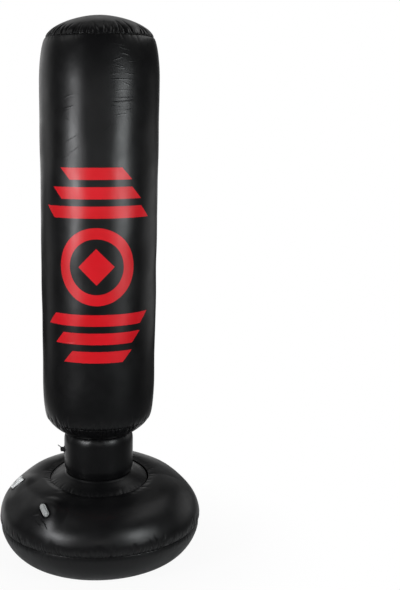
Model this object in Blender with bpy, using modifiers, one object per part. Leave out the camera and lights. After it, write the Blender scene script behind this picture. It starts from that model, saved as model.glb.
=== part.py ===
"""Inflatable standing punching bag.

An air-filled column stands on a narrow neck, over a round base that holds water.
Metres, +Z up. The origin is the middle of the base's flat underside, and the front faces -Y.
"""

import math
from dataclasses import dataclass, replace

import bmesh
import bpy
from mathutils import Matrix, Vector

# Film, welds and clearances
FILM = 0.0006
GAP = 0.0003
WELD = 0.008
MERGE_DISTANCE = 0.00001
SHARP_ANGLE = math.radians(40)
PIVOT_SIZE = 0.02

# Base: a flat round cushion, widest at its equator
BASE_RADIUS = 0.3025
RIM_HEIGHT = 0.1045
RIM_TUCK = 0.0075
FOOT_TUCK = 0.089
EQUATOR_RISE = 0.0185
CREST_RISE = 0.1205
CREST_INSET = 0.0455
CREASE_DEPTH = 0.022

# Collar: the raised ring between the base's crease and the neck
COLLAR_WIDTH = 0.057
COLLAR_RISE = 0.035
COLLAR_FOOT_DROP = 0.022
NECK_STANDOFF = 0.010

# Neck
NECK_RADIUS = 0.1045
NECK_LENGTH = 0.128
NECK_WAIST = 0.0135
NECK_WAIST_HEIGHT = 0.0395
NECK_SHOULDER = 0.006
NECK_SHOULDER_HEIGHT = 0.030
BULKHEAD_DISH = 0.012

# Column, seam to seam, and its two end caps
COLUMN_LENGTH = 1.1165
COLUMN_TOP_RADIUS = 0.1723
COLUMN_BOTTOM_RADIUS = 0.1671
TOP_TUCK = 0.019
TOP_SHOULDER_HEIGHT = 0.1175
BOTTOM_TUCK = 0.032
BOTTOM_SHOULDER_HEIGHT = 0.129
TOP_CAP_RISE = 0.0635
BOTTOM_CAP_DROP = 0.0475

# How full the curves are: 2 is a quarter ellipse, 1 a straight line
TOP_FULLNESS = 1.75
BASE_FULLNESS = 1.8
ROUND = 2.0

# Steps along the curves of the outlines
DOME_STEPS = 6
SHOULDER_STEPS = 4
ROLL_STEPS = 3
BEND_STEPS = 2

# Puckers: the film gathers into pleats beside each round weld
PLEATS = 20
PUCKER_DEPTH = 0.0028
PUCKER_PEAK = 0.009
PUCKER_REACH = 0.042
PUCKER_SWELL = 0.35
SWELLS_ROUND = 5

# Tie wall inside the base, and the water round it
FLOW_HOLE_RADIUS = 0.012
FLOW_HOLE_PAIRS = 2
FLOW_HOLE_SIDES = 12
LOW_HOLE_HEIGHT = 0.035
HIGH_HOLE_HEIGHT = 0.165
WATER_FREEBOARD = 0.045
WATER_CLEARANCE = 0.004

# Valves
VALVE_SIDES = 16
PATCH_THICKNESS = 0.0008
STEM_CLEARANCE = 0.0005
SPIGOT_DEPTH = 0.003
SPIGOT_TAPER = 0.0004
FLAP_THICKNESS = 0.0008
STRAP_THICKNESS = 0.0012
STRAP_SHARE = 0.5
HINGE_INSET = 0.0016
POST_DEPTH = 0.0032
OVERLAP = 0.0006
TAB_TAPER = 0.7


@dataclass(frozen=True)
class Valve:
    """Sizes of a plug valve: an oval pad, with a stem at one end and the strap's post at the other."""

    name: str
    pad_length: float
    pad_width: float
    pad_height: float
    patch_margin: float
    bore_radius: float
    stem_wall: float
    stem_height: float
    tail: float
    lid_overhang: float
    lid_thickness: float
    tab_length: float
    tab_width: float
    tab_tilt: float
    tab_turn: float

    @property
    def depth(self):
        """How far its cutters reach into the film, past any curve under the pad."""
        return self.pad_length / 2

    @property
    def stem_x(self):
        return -(self.pad_length - self.pad_width) / 2

    @property
    def stem_radius(self):
        return self.bore_radius + self.stem_wall

    @property
    def stem_top(self):
        return self.pad_height + self.stem_height

    @property
    def lid_radius(self):
        return self.stem_radius + self.lid_overhang

    @property
    def lid_low(self):
        return self.stem_top + GAP

    @property
    def hinge_x(self):
        return self.pad_length / 2 - HINGE_INSET

    @property
    def strap_width(self):
        return 2 * self.lid_radius * STRAP_SHARE


BASE_VALVE = Valve(
    name="",
    pad_length=0.044,
    pad_width=0.017,
    pad_height=0.0030,
    patch_margin=0.006,
    bore_radius=0.0045,
    stem_wall=0.0020,
    stem_height=0.0015,
    tail=0.009,
    lid_overhang=0.0013,
    lid_thickness=0.0025,
    tab_length=0.004,
    tab_width=0.006,
    tab_tilt=0.0,
    tab_turn=0.0,
)
NECK_VALVE = Valve(
    name="neck_valve",
    pad_length=0.028,
    pad_width=0.014,
    pad_height=0.0020,
    patch_margin=0.005,
    bore_radius=0.0035,
    stem_wall=0.0017,
    stem_height=0.0070,
    tail=0.008,
    lid_overhang=0.0010,
    lid_thickness=0.0025,
    tab_length=0.012,
    tab_width=0.006,
    tab_tilt=math.radians(50),
    tab_turn=math.radians(-90),
)
NECK_VALVE_RISE = 0.077
FRONT_VALVE_AZIMUTH = math.radians(233)
FRONT_VALVE_SLOPE = math.radians(40)
FRONT_VALVE_TURN = math.radians(218)
REAR_VALVE_AZIMUTH = math.radians(183)
REAR_VALVE_SLOPE = math.radians(33)
REAR_VALVE_TURN = math.radians(84)

# Radii, heights and counts that follow from the sizes above
segments = 2 * PLEATS
rim_radius = BASE_RADIUS - RIM_TUCK
foot_radius = rim_radius - FOOT_TUCK
neck_foot_radius = NECK_RADIUS - NECK_WAIST
neck_top_radius = NECK_RADIUS - NECK_SHOULDER
crease_radius = neck_foot_radius + COLLAR_WIDTH
crest_radius = crease_radius + CREST_INSET
top_seam_radius = COLUMN_TOP_RADIUS - TOP_TUCK
bottom_seam_radius = COLUMN_BOTTOM_RADIUS - BOTTOM_TUCK
equator_z = RIM_HEIGHT + EQUATOR_RISE
crest_z = equator_z + CREST_RISE
crease_z = crest_z - CREASE_DEPTH
collar_top_z = crease_z + COLLAR_RISE
collar_foot_z = collar_top_z - COLLAR_FOOT_DROP
neck_foot_z = collar_foot_z + NECK_STANDOFF
neck_top_z = neck_foot_z + NECK_LENGTH
bottom_seam_z = neck_top_z + BOTTOM_CAP_DROP
top_seam_z = bottom_seam_z + COLUMN_LENGTH
top_z = top_seam_z + TOP_CAP_RISE
pivot_z = neck_foot_z + NECK_LENGTH / 2
water_z = RIM_HEIGHT - WATER_FREEBOARD


# Scene and materials


def clear_scene():
    """Remove every object and collection left from before."""
    for old in list(bpy.data.objects):
        bpy.data.objects.remove(old)
    for old in list(bpy.data.collections):
        bpy.data.collections.remove(old)


def new_collection(name):
    """A collection linked to the scene."""
    made = bpy.data.collections.new(name)
    bpy.context.scene.collection.children.link(made)
    return made


def plastic(name, colour, roughness, alpha=1.0):
    """A Principled plastic or liquid of one colour."""
    material = bpy.data.materials.new(name)
    material.use_nodes = True
    shader = material.node_tree.nodes["Principled BSDF"]
    shader.inputs["Base Color"].default_value = (*colour, 1.0)
    shader.inputs["Roughness"].default_value = roughness
    shader.inputs["Metallic"].default_value = 0.0
    shader.inputs["Alpha"].default_value = alpha
    return material


# Outlines: lists of (radius, height), read clockwise, with the film's outer side on the left


def bulge(turn, fullness):
    """Shares of a curve's width and height at an angle from its level end."""
    return math.sin(turn) ** (2 / fullness), max(math.cos(turn), 0.0) ** (2 / fullness)


def quarter(start, end, steps, upright_start, fullness=ROUND):
    """A quarter round between two points, upright at one of them and level at the other."""
    points = []
    for step in range(steps + 1):
        toward, back = bulge(math.pi / 2 * step / steps, fullness)
        if upright_start:
            radius = end[0] + (start[0] - end[0]) * back
            height = start[1] + (end[1] - start[1]) * toward
        else:
            radius = start[0] + (end[0] - start[0]) * toward
            height = end[1] + (start[1] - end[1]) * back
        points.append((radius, height))
    return points


def eased(start, end, steps):
    """A parabola from a sloping start to an upright end."""
    points = []
    for step in range(steps + 1):
        part = step / steps
        radius = end[0] + (start[0] - end[0]) * (1 - part) ** 2
        points.append((radius, start[1] + (end[1] - start[1]) * part))
    return points


def joined(*runs):
    """One outline from several runs, without the points where they meet twice."""
    points = []
    for run in runs:
        for point in run:
            if not points or math.dist(point, points[-1]) > GAP / 10:
                points.append(point)
    return points


def normals(outline):
    """The outward direction at each point of an outline."""
    found = []
    for index, point in enumerate(outline):
        before = outline[max(index - 1, 0)]
        after = outline[min(index + 1, len(outline) - 1)]
        along = Vector((after[0] - before[0], after[1] - before[1])).normalized()
        found.append(Vector((-along.y, along.x)))
    return found


def grown(outline, distance):
    """The outline moved outward by a distance."""
    return [
        (max(point[0] + normal.x * distance, 0.0), point[1] + normal.y * distance)
        for point, normal in zip(outline, normals(outline))
    ]


def top_cap_outline():
    """Dome from its top to the seam, then the weld flange turned inward."""
    seam = (top_seam_radius, top_seam_z + GAP / 2)
    dome = quarter((0.0, top_z), seam, DOME_STEPS, False, TOP_FULLNESS)
    return joined(dome, [(seam[0] - WELD, seam[1])])


def wall_outline():
    """Column wall: flange, upper shoulder, straight side, lower shoulder, flange."""
    upper = (top_seam_radius, top_seam_z - GAP / 2)
    lower = (bottom_seam_radius, bottom_seam_z + GAP / 2)
    side_top = (COLUMN_TOP_RADIUS, top_seam_z - TOP_SHOULDER_HEIGHT)
    side_bottom = (COLUMN_BOTTOM_RADIUS, bottom_seam_z + BOTTOM_SHOULDER_HEIGHT)
    shoulder = quarter(side_top, upper, SHOULDER_STEPS, True, TOP_FULLNESS)[::-1]
    hip = quarter(side_bottom, lower, SHOULDER_STEPS, True)
    return joined([(upper[0] - WELD, upper[1])], shoulder, hip, [(lower[0] - WELD, lower[1])])


def bottom_cap_outline():
    """Column underside: flange, drop to the neck's hole, and the lip turned up inside it."""
    seam = (bottom_seam_radius, bottom_seam_z - GAP / 2)
    hole = (neck_top_radius, neck_top_z + GAP / 2)
    drop = quarter(seam, hole, SHOULDER_STEPS, True)
    return joined([(seam[0] - WELD, seam[1])], drop, [(hole[0], hole[1] + WELD)])


def neck_visible_outline():
    """Neck between its two welds."""
    top = (neck_top_radius - GAP, neck_top_z - GAP / 2)
    barrel_top = (NECK_RADIUS, neck_top_z - NECK_SHOULDER_HEIGHT)
    barrel_bottom = (NECK_RADIUS, neck_foot_z + NECK_WAIST_HEIGHT)
    foot = (neck_foot_radius - GAP, neck_foot_z)
    shoulder = quarter(barrel_top, top, BEND_STEPS, True)[::-1]
    waist = eased(foot, barrel_bottom, BEND_STEPS)[::-1]
    return joined(shoulder, waist)


def neck_outline():
    """Neck wall with its lips: up into the column, and down into the base."""
    lip_top = (neck_top_radius - GAP, neck_top_z + GAP / 2 + WELD)
    lip_bottom = (neck_foot_radius - GAP, collar_foot_z - WELD)
    return joined([lip_top], neck_visible_outline(), [lip_bottom])


def bulkhead_outline():
    """Dished disc that closes the neck off from the base, with its lip turned down."""
    rim = neck_foot_radius - 2 * GAP - FILM
    dish = [
        (rim * part, collar_foot_z - BULKHEAD_DISH * (1 - part**2)) for part in (0.0, 0.5, 1.0)
    ]
    return joined(dish, [(rim, collar_foot_z - WELD)])


def collar_outline():
    """Raised ring: lip at the neck, over the top, lip at the crease."""
    foot = (neck_foot_radius, collar_foot_z)
    top = (neck_foot_radius + COLLAR_WIDTH / 2, collar_top_z)
    crease = (crease_radius - FILM / 2 - GAP, crease_z)
    inner = quarter(foot, top, BEND_STEPS, True)
    outer = quarter(crease, top, ROLL_STEPS, True)[::-1]
    return joined([(foot[0], foot[1] - WELD)], inner, outer, [(crease[0], crease[1] - WELD)])


def base_visible_outline():
    """Base from the crease, over the crest and the equator, to the rim seam."""
    crease = (crease_radius + FILM / 2 + GAP, crease_z)
    crest = (crest_radius, crest_z)
    equator = (BASE_RADIUS, equator_z)
    rim = (rim_radius, RIM_HEIGHT + GAP / 2)
    inner = quarter(crease, crest, BEND_STEPS, True)
    outer = quarter(crest, equator, SHOULDER_STEPS, False, BASE_FULLNESS)
    under = quarter(equator, rim, ROLL_STEPS, True)
    return joined(inner, outer, under)


def upper_panel_outline():
    """Upper panel with its lip at the crease and its flange at the rim."""
    visible = base_visible_outline()
    lip = (visible[0][0], crease_z - WELD)
    flange = (rim_radius - WELD, RIM_HEIGHT + GAP / 2)
    return joined([lip], visible, [flange])


def lower_panel_outline():
    """Lower panel: flange at the rim, curve under, and the flat that stands on the floor."""
    rim = (rim_radius, RIM_HEIGHT - GAP / 2)
    under = quarter(rim, (foot_radius, 0.0), SHOULDER_STEPS, True, BASE_FULLNESS)
    return joined([(rim[0] - WELD, rim[1])], under, [(0.0, 0.0)])


def tie_outline():
    """Tie wall: an upright tube whose foot turns outward on the lower panel."""
    outside = crease_radius + FILM / 2
    foot_z = 2 * FILM + GAP
    return [(outside, crease_z), (outside, foot_z), (outside + WELD, foot_z)]


def water_outline():
    """Water over the lower panel, up to its level."""
    floor = FILM + 2 * GAP
    level = math.asin((1 - (water_z - floor) / RIM_HEIGHT) ** (BASE_FULLNESS / 2))
    side = [(0.0, water_z)]
    for step in range(ROLL_STEPS + 1):
        turn = level + (math.pi / 2 - level) * step / ROLL_STEPS
        down, out = bulge(turn, BASE_FULLNESS)
        radius = foot_radius + FOOT_TUCK * out - WATER_CLEARANCE
        side.append((radius, floor + RIM_HEIGHT * (1 - down)))
    return side + [(0.0, floor)]


def slot_outline():
    """Room that the tie wall and its foot take out of the water."""
    inside = crease_radius - FILM / 2 - GAP
    outside = crease_radius + FILM / 2 + GAP
    top = RIM_HEIGHT
    foot = 2 * FILM + 2 * GAP
    toe = outside + WELD
    ring = [(inside, top), (outside, top), (outside, foot), (toe, foot), (toe, -GAP)]
    return ring + [(inside, -GAP), (inside, top)]


# Building


def add_object(name, mesh, collection, material=None):
    """An object that shows a mesh in the given collection."""
    made = bpy.data.objects.new(name, mesh)
    collection.objects.link(made)
    if material:
        mesh.materials.append(material)
    return made


def shade(mesh):
    """Smooth round sides, sharp edges."""
    mesh.shade_smooth()
    mesh.set_sharp_from_angle(angle=SHARP_ANGLE)


def turned_mesh(name, outline):
    """The mesh of an outline screwed once round the Z axis."""
    profile = bpy.data.meshes.new(name + "_profile")
    edges = [(index, index + 1) for index in range(len(outline) - 1)]
    profile.from_pydata([(radius, 0.0, height) for radius, height in outline], edges, [])
    temporary = bpy.data.objects.new(name + "_profile", profile)
    bpy.context.scene.collection.objects.link(temporary)
    screw = temporary.modifiers.new("Turn", "SCREW")
    screw.axis = "Z"
    screw.steps = segments
    screw.render_steps = segments
    screw.use_merge_vertices = True
    screw.merge_threshold = MERGE_DISTANCE
    graph = bpy.context.evaluated_depsgraph_get()
    mesh = bpy.data.meshes.new_from_object(temporary.evaluated_get(graph))
    mesh.name = name
    bpy.data.objects.remove(temporary)
    bpy.data.meshes.remove(profile)
    return mesh


def pucker(mesh, outline, seam_index):
    """Draw the film inward in pleats that start at a weld and fade away from it."""
    facing = normals(outline)
    lengths = [0.0]
    for before, after in zip(outline, outline[1:]):
        lengths.append(lengths[-1] + math.dist(before, after))
    for vertex in mesh.vertices:
        radius = math.hypot(vertex.co.x, vertex.co.y)
        place = (radius, vertex.co.z)
        index = min(range(len(outline)), key=lambda at: math.dist(outline[at], place))
        distance = abs(lengths[index] - lengths[seam_index])
        at_end = index in (0, len(outline) - 1)
        if at_end or distance < GAP or distance > PUCKER_REACH:
            continue
        rise = min(distance / PUCKER_PEAK, 1.0)
        fade = min((PUCKER_REACH - distance) / (PUCKER_REACH - PUCKER_PEAK), 1.0)
        angle = math.atan2(vertex.co.y, vertex.co.x)
        pleat = 0.5 - 0.5 * math.cos(PLEATS * angle)
        swell = 1 - PUCKER_SWELL + PUCKER_SWELL * math.sin(SWELLS_ROUND * angle)
        depth = PUCKER_DEPTH * rise * fade * pleat * swell
        vertex.co.x -= depth * facing[index].x * math.cos(angle)
        vertex.co.y -= depth * facing[index].x * math.sin(angle)
        vertex.co.z -= depth * facing[index].y


def panel(name, outline, collection, material, pleated=()):
    """A turned film panel, pleated beside the welds at the given points of its outline."""
    mesh = turned_mesh(name, outline)
    for seam in pleated:
        pucker(mesh, outline, seam)
    made = add_object(name, mesh, collection, material)
    thicken = made.modifiers.new("Film", "SOLIDIFY")
    thicken.thickness = FILM
    thicken.offset = -1.0
    thicken.use_even_offset = True
    shade(mesh)
    return made


def as_cutter(made):
    """Hide a guide shape from the render and draw it as wire."""
    made.hide_render = True
    made.display_type = "WIRE"
    return made


def boolean(made, other, operation):
    """Join, cut or intersect with another object."""
    change = made.modifiers.new(other.name, "BOOLEAN")
    change.operation = operation
    change.object = other
    change.solver = "EXACT"


def cylinder(name, radius, low, high, collection, matrix, far_radius=None, sides=VALVE_SIDES):
    """A closed cylinder or cone along the matrix's Z axis, between two heights."""
    mesh = bpy.data.meshes.new(name)
    work = bmesh.new()
    bmesh.ops.create_cone(
        work,
        cap_ends=True,
        segments=sides,
        radius1=radius,
        radius2=radius if far_radius is None else far_radius,
        depth=high - low,
        matrix=Matrix.Translation((0, 0, (low + high) / 2)),
    )
    work.to_mesh(mesh)
    work.free()
    made = add_object(name, mesh, collection)
    made.matrix_world = matrix
    return made


def prism(name, outline, low, high, collection, matrix):
    """A flat outline raised between two heights."""
    mesh = bpy.data.meshes.new(name)
    work = bmesh.new()
    base = work.faces.new([work.verts.new((x, y, low)) for x, y in outline])
    raised = bmesh.ops.extrude_face_region(work, geom=[base])["geom"]
    top = [item for item in raised if isinstance(item, bmesh.types.BMVert)]
    bmesh.ops.translate(work, verts=top, vec=(0, 0, high - low))
    bmesh.ops.recalc_face_normals(work, faces=work.faces)
    work.to_mesh(mesh)
    work.free()
    made = add_object(name, mesh, collection)
    made.matrix_world = matrix
    return made


def stadium(length, width):
    """A bar outline with round ends, long along X."""
    radius = width / 2
    reach = length / 2 - radius
    half = VALVE_SIDES // 2
    points = []
    for side in (1, -1):
        for step in range(half + 1):
            turn = math.pi * (step / half - 0.5)
            across = reach + radius * math.cos(turn)
            points.append((side * across, side * radius * math.sin(turn)))
    return points


def keyhole(centre, radius, end, width):
    """A disc at X = centre with a bar from it to X = end."""
    half = width / 2
    start = math.asin(half / radius)
    points = [(end, -half), (end, half)]
    for step in range(VALVE_SIDES + 1):
        turn = start + (2 * math.pi - 2 * start) * step / VALVE_SIDES
        points.append((centre + radius * math.cos(turn), radius * math.sin(turn)))
    return points


def pivot(name, place, collection, matrix=None):
    """An empty on a joint's axis."""
    made = bpy.data.objects.new(name, None)
    made.empty_display_size = PIVOT_SIZE
    collection.objects.link(made)
    made.matrix_world = (matrix or Matrix()) @ Matrix.Translation(place)
    return made


def hang(piece, parent):
    """Parent a piece without moving it."""
    inverse = parent.matrix_world.inverted()
    piece.parent = parent
    piece.matrix_parent_inverse = inverse


# Valve places


def frame_at(point, outward, along):
    """A matrix at a point, with Z outward from the film and X along the valve."""
    z_axis = outward.normalized()
    x_axis = (along - z_axis * along.dot(z_axis)).normalized()
    y_axis = z_axis.cross(x_axis)
    turn = Matrix((x_axis, y_axis, z_axis)).transposed().to_4x4()
    return Matrix.Translation(point) @ turn


def base_frame(azimuth, slope, turn):
    """A place on the base's outer shoulder, at an angle down from its crest."""
    out, up = bulge(slope, BASE_FULLNESS)
    radius = crest_radius + (BASE_RADIUS - crest_radius) * out
    height = equator_z + CREST_RISE * up
    lean = out ** (BASE_FULLNESS - 1) / (BASE_RADIUS - crest_radius)
    rise = up ** (BASE_FULLNESS - 1) / CREST_RISE
    away = Vector((math.cos(azimuth), math.sin(azimuth), 0))
    across = Vector((-math.sin(azimuth), math.cos(azimuth), 0))
    outward = (away * lean + Vector((0, 0, rise))).normalized()
    down = across.cross(outward)
    along = across * math.cos(turn) + down * math.sin(turn)
    return frame_at(away * radius + Vector((0, 0, height)), outward, along)


def neck_frame():
    """A place on the neck's left side, with the valve lying along the neck's girth."""
    point = Vector((-NECK_RADIUS, 0, neck_foot_z + NECK_VALVE_RISE))
    return frame_at(point, Vector((-1, 0, 0)), Vector((0, -1, 0)))


# Valves


def core(name, outline, distance, cutters):
    """The space that a bulging film encloses, grown outward by a distance."""
    outside = grown(outline, distance)
    closed = [(0.0, outside[0][1])] + outside + [(0.0, outside[-1][1])]
    return as_cutter(add_object(name, turned_mesh(name, closed), cutters))


def stem_frame(valve, matrix):
    """The valve's frame moved to its stem's axis."""
    return matrix @ Matrix.Translation((valve.stem_x, 0, 0))


def add_patch(valve, matrix, outline, parts, cutters):
    """Welded patch that follows the film under the valve."""
    margin = 2 * valve.patch_margin
    plan = stadium(valve.pad_length + margin, valve.pad_width + margin)
    patch = prism(valve.name + "_patch", plan, -valve.depth, valve.depth, parts, matrix)
    boolean(patch, core(valve.name + "_film", outline, GAP, cutters), "DIFFERENCE")
    skin = core(valve.name + "_skin", outline, GAP + PATCH_THICKNESS, cutters)
    boolean(patch, skin, "INTERSECT")
    return patch


def add_body(valve, matrix, outline, parts, cutters):
    """Moulded pad seated on the patch, with its bored stem and the strap's post."""
    name = valve.name
    place = stem_frame(valve, matrix)
    plan = stadium(valve.pad_length, valve.pad_width)
    body = prism(name + "_body", plan, -valve.depth, valve.pad_height, parts, matrix)
    seat = core(name + "_seat", outline, 2 * GAP + PATCH_THICKNESS, cutters)
    boolean(body, seat, "DIFFERENCE")
    stem = cylinder(
        name + "_stem", valve.stem_radius, -valve.tail, valve.stem_top, cutters, place
    )
    boolean(body, as_cutter(stem), "UNION")
    half = valve.strap_width / 2 - GAP
    inner = valve.hinge_x - POST_DEPTH
    outer = valve.hinge_x - GAP
    plan = [(inner, -half), (outer, -half), (outer, half), (inner, half)]
    foot = valve.pad_height - OVERLAP
    post = prism(name + "_post", plan, foot, valve.stem_top, cutters, matrix)
    boolean(body, as_cutter(post), "UNION")
    bore = cylinder(name + "_bore", valve.bore_radius, -valve.depth, valve.depth, cutters, place)
    boolean(body, as_cutter(bore), "DIFFERENCE")
    return body


def add_cap(valve, matrix, parts, cutters):
    """Plug: lid and strap, a tapered spigot in the bore, and a pull tab."""
    name = valve.name
    place = stem_frame(valve, matrix)
    low = valve.lid_low
    high = low + valve.lid_thickness
    plan = keyhole(valve.stem_x, valve.lid_radius, valve.hinge_x, valve.strap_width)
    cap = prism(name + "_cap", plan, low, low + STRAP_THICKNESS, parts, matrix)
    lid_radius = valve.lid_radius - OVERLAP
    lid = cylinder(name + "_lid", lid_radius, low + OVERLAP, high, cutters, place)
    boolean(cap, as_cutter(lid), "UNION")
    spigot_radius = valve.bore_radius - STEM_CLEARANCE
    spigot = cylinder(
        name + "_spigot",
        spigot_radius - SPIGOT_TAPER,
        low - SPIGOT_DEPTH,
        low + OVERLAP,
        cutters,
        place,
        far_radius=spigot_radius,
    )
    boolean(cap, as_cutter(spigot), "UNION")
    root = Matrix.Translation((2 * OVERLAP - valve.lid_radius, 0, low + OVERLAP))
    turn = Matrix.Rotation(valve.tab_turn, 4, "Z")
    tilt = Matrix.Rotation(valve.tab_tilt, 4, "Y")
    near = valve.tab_width / 2
    far = near * TAB_TAPER
    plan = [(0, -near), (0, near), (-valve.tab_length, far), (-valve.tab_length, -far)]
    thickness = valve.lid_thickness - 2 * OVERLAP
    tab = prism(name + "_tab", plan, 0, thickness, cutters, place @ turn @ root @ tilt)
    boolean(cap, as_cutter(tab), "UNION")
    hang(cap, pivot(name + "_cap_hinge", (valve.hinge_x, 0, low), parts, matrix))
    return cap


def add_flap(valve, matrix, parts):
    """Check flap that closes the stem's inner end and swings inward."""
    radius = valve.stem_radius - GAP
    high = -valve.tail - GAP
    place = stem_frame(valve, matrix)
    flap = cylinder(valve.name + "_flap", radius, high - FLAP_THICKNESS, high, parts, place)
    hang(flap, pivot(valve.name + "_flap_hinge", (valve.stem_x + radius, 0, high), parts, matrix))
    return flap


def add_valve(valve, matrix, film, outline, parts, cutters, looks):
    """Patch, body, cap and inner flap of one valve, and its hole in the film and patch."""
    patch = add_patch(valve, matrix, outline, parts, cutters)
    body = add_body(valve, matrix, outline, parts, cutters)
    cap = add_cap(valve, matrix, parts, cutters)
    flap = add_flap(valve, matrix, parts)
    radius = valve.stem_radius + STEM_CLEARANCE
    place = stem_frame(valve, matrix)
    opening = cylinder(
        valve.name + "_opening", radius, -valve.depth, valve.depth, cutters, place
    )
    for piece in (film, patch):
        boolean(piece, as_cutter(opening), "DIFFERENCE")
    patch.data.materials.append(looks["film"])
    for piece in (body, cap, flap):
        piece.data.materials.append(looks[valve.name])
    for piece in (patch, body, cap, flap):
        shade(piece.data)
    return [patch, body, cap, flap]


# Base pieces


def add_tie_wall(parts, cutters, look):
    """Tie wall with rows of flow holes, low for the water and high for the air."""
    tie = panel("base_tie_wall", tie_outline(), parts, look)
    for row, height in (("low", LOW_HOLE_HEIGHT), ("high", HIGH_HOLE_HEIGHT)):
        for pair in range(FLOW_HOLE_PAIRS):
            rod = flow_cutter(row, pair, height, FLOW_HOLE_RADIUS, cutters)
            boolean(tie, rod, "DIFFERENCE")
    return tie


def flow_cutter(row, pair, height, radius, cutters):
    """A rod right across the tie wall, through the middle of two facing flats."""
    turn = math.pi * pair / FLOW_HOLE_PAIRS + math.pi / segments
    lie = Matrix.Rotation(turn, 4, "Z") @ Matrix.Rotation(math.pi / 2, 4, "Y")
    matrix = Matrix.Translation((0, 0, height)) @ lie
    reach = crease_radius + WELD / 2
    name = f"flow_{row}_{pair}"
    rod = cylinder(name, radius, -reach, reach, cutters, matrix, sides=FLOW_HOLE_SIDES)
    return as_cutter(rod)


def add_water(parts, cutters, look):
    """Water ballast on both sides of the tie wall, joined through the low flow holes."""
    water = add_object("ballast_water", turned_mesh("ballast_water", water_outline()), parts, look)
    slot = add_object("tie_slot", turned_mesh("tie_slot", slot_outline()), cutters)
    for pair in range(FLOW_HOLE_PAIRS):
        rod = flow_cutter("water", pair, LOW_HOLE_HEIGHT, FLOW_HOLE_RADIUS - GAP, cutters)
        boolean(slot, rod, "DIFFERENCE")
    boolean(water, as_cutter(slot), "DIFFERENCE")
    shade(water.data)
    return water


def build():
    """Model the whole bag."""
    clear_scene()
    parts = new_collection("inflatable_punching_bag")
    cutters = new_collection("cutters")
    film = plastic("black_pvc_film", (0.018, 0.018, 0.021), 0.38)
    inner = plastic("grey_inner_film", (0.08, 0.08, 0.085), 0.5)
    white = plastic("white_soft_pvc", (0.72, 0.73, 0.72), 0.42)
    black = plastic("black_soft_pvc", (0.02, 0.02, 0.022), 0.45)
    water = plastic("water", (0.45, 0.62, 0.7), 0.05, alpha=0.4)
    looks = {"film": film, "neck_valve": black, "front_valve": white, "rear_valve": white}

    top = top_cap_outline()
    wall = wall_outline()
    under = bottom_cap_outline()
    column = [
        panel("column_top_cap", top, parts, film, pleated=(len(top) - 2,)),
        panel("column_wall", wall, parts, film, pleated=(1, len(wall) - 2)),
        panel("column_bottom_cap", under, parts, film, pleated=(1,)),
    ]
    neck_wall = panel("neck_wall", neck_outline(), parts, film)

    collar = collar_outline()
    upper = upper_panel_outline()
    panel("neck_bulkhead", bulkhead_outline(), parts, inner)
    panel("base_collar", collar, parts, film, pleated=(len(collar) - 2,))
    upper_panel = panel("base_upper_panel", upper, parts, film, pleated=(len(upper) - 2,))
    panel("base_lower_panel", lower_panel_outline(), parts, film, pleated=(1,))
    add_tie_wall(parts, cutters, inner)
    add_water(parts, cutters, water)

    sway = pivot("neck_pivot", (0, 0, pivot_z), parts)
    lean = pivot("column_pivot", (0, 0, pivot_z), parts)
    for piece in column:
        hang(piece, lean)
    hang(lean, sway)
    hang(neck_wall, sway)

    neck_valve = add_valve(
        NECK_VALVE, neck_frame(), neck_wall, neck_visible_outline(), parts, cutters, looks
    )
    for piece in neck_valve:
        top_parent = piece.parent or piece
        hang(top_parent, sway)
    shoulder = base_visible_outline()
    front = base_frame(FRONT_VALVE_AZIMUTH, FRONT_VALVE_SLOPE, FRONT_VALVE_TURN)
    rear = base_frame(REAR_VALVE_AZIMUTH, REAR_VALVE_SLOPE, REAR_VALVE_TURN)
    for name, frame in (("front_valve", front), ("rear_valve", rear)):
        valve = replace(BASE_VALVE, name=name)
        add_valve(valve, frame, upper_panel, shoulder, parts, cutters, looks)


build()
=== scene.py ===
"""Looks of the inflatable punching bag: gathered film, a printed front, plug valves, studio."""

import math

import bmesh
import bpy
import numpy as np
from mathutils import Matrix, Vector
from mathutils.bvhtree import BVHTree


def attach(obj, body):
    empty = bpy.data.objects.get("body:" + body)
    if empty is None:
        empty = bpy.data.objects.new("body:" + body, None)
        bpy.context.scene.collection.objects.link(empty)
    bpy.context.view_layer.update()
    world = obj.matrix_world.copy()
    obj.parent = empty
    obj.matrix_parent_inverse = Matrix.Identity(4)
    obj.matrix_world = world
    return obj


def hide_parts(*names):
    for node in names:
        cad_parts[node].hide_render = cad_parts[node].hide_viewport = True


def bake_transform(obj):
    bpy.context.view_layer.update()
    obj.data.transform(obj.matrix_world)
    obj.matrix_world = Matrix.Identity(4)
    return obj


# Outline of the bag's film as it rests, as points of radius and height in metres
EQUATOR = np.array([0.3025, 0.1195])
RIM = np.array([0.297, 0.1045])
FOOT = np.array([0.206, 0.0])
CREST = np.array([0.1650, 0.2375])
CREASE = np.array([0.148, 0.2350])
CREASE_STEP = 0.0022
BEAD = np.array([0.0985, 0.2550])
SKIRT = np.array([0.1030, 0.2520])
COLLAR_FOOT = np.array([0.091, 0.2345])
NECK_FOOT_Z = 0.2445
NECK_FOOT = np.array([0.091, NECK_FOOT_Z])
NECK_RADIUS = 0.1045
NECK_BARREL_Z = (0.284, 0.3545)
NECK_TOP_Z = 0.3815
NECK_TOP = np.array([0.0945, NECK_TOP_Z])
PIVOT_Z = 0.3085
BOTTOM_SEAM = np.array([0.1510, 0.4265])
COLUMN_BOTTOM = np.array([0.1671, 0.549])
COLUMN_TOP = np.array([0.1723, 1.419])
TOP_SEAM = np.array([0.1533, 1.5365])
TOP = np.array([0.0, 1.600])
SEAM_LIP = 0.005
# Half the gap between two panels at a seam: upright, and to the side
GAP = np.array([0, 0.0005])
SIDE_GAP = GAP[::-1]

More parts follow.
